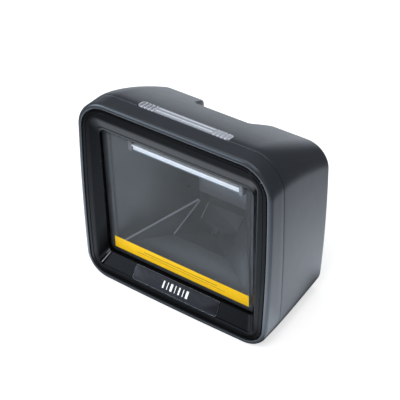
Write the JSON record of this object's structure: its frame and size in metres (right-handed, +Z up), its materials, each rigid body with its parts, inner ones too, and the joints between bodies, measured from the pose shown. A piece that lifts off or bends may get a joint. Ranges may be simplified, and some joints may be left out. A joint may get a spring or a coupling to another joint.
{
  "type": "presentation barcode scanner",
  "caption": "Upright hands-free barcode scanner: window behind a glossy funnel bezel, frame ring, tapered rear housing with light bar, camera chamber and a press button.",
  "frame": {"origin": "middle of the footprint, on the counter, below the middle of the body", "axes": "+Z up, the window faces -Y towards the customer, +X to the right as seen by someone who faces the window"},
  "size_m": [0.15, 0.077, 0.1454],
  "materials": {
    "frame_plastic": "fine matt grain",
    "bezel_plastic": "polished",
    "window_glass": "clear, polished",
    "gasket_foam": "matt foam rubber",
    "yellow_strip": "printed film",
    "plate_satin": "satin",
    "white_print": "print",
    "housing_plastic": "fine matt grain",
    "light_bar": "clear, moulded ribs",
    "circuit_board": "solder mask",
    "led_resin": "moulded resin",
    "zinc_screw": "zinc plated",
    "black_screw": "black oxide",
    "chamber_plastic": "matt",
    "diffuser_white": "opal",
    "white_board": "white solder mask",
    "bracket_sheet": "dark satin sheet",
    "black_plastic": "moulded",
    "anodised_barrel": "black anodised",
    "lens_coated": "coated lens",
    "aimer_glass": "moulded lens",
    "flat_cable": "polyimide film",
    "red_insulation": "moulded",
    "tinned_can": "tinned sheet",
    "capacitor_sleeve": "shrink sleeve",
    "cream_plastic": "moulded",
    "gold_contact": "gold plated",
    "button_plastic": "matt",
    "label_film": "blank satin film",
    "foot_rubber": "matt",
    "insert_brass": "turned"
  },
  "bodies": {
    "scanner_body": {"front_frame": "frame_plastic", "inner_bezel": "bezel_plastic", "window_glass": "window_glass", "window_gasket": "gasket_foam", "caution_strip": "yellow_strip", "nameplate": "plate_satin", "nameplate_emblem": "white_print", "rear_housing": "housing_plastic", "indicator_bar": "light_bar", "indicator_board": "circuit_board", "indicator_leds": "led_resin", "indicator_screws": "zinc_screw", "optical_chamber": "chamber_plastic", "chamber_screws": "black_screw", "fill_light_diffuser": "diffuser_white", "fill_light_board": "white_board", "fill_light_leds": "led_resin", "fill_light_brackets": "bracket_sheet", "engine_bracket": "bracket_sheet", "engine_screws": "black_screw", "camera_module": "black_plastic", "lens_barrel": "anodised_barrel", "lens_glass": "lens_coated", "sensor_board": "circuit_board", "aimer_lenses": "aimer_glass", "engine_ribbon": "flat_cable", "fill_light_lead": "flat_cable", "indicator_ribbon": "flat_cable", "beeper_leads": "red_insulation", "main_board": "circuit_board", "board_screws": "zinc_screw", "processor_shield": "tinned_can", "memory_chips": "black_plastic", "capacitors": "capacitor_sleeve", "ribbon_connectors": "cream_plastic", "interface_jack": "black_plastic", "jack_contacts": "gold_contact", "button_switch": "black_plastic", "beeper": "black_plastic", "beeper_seal": "gasket_foam", "rating_label": "label_film", "rubber_feet": "foot_rubber", "bracket_inserts": "insert_brass", "case_screws": "black_screw", "pocket_screw": "zinc_screw"},
    "button": {"volume_button": "button_plastic", "switch_plunger": "red_insulation"}
  },
  "joints": [
    {"name": "button_press", "type": "slide", "parent": "scanner_body", "child": "button", "axis": [0, -1, 0], "range_m": [0, 0.001], "stiffness_N_per_m": 1500, "springref_m": -0.0005}
  ]
}
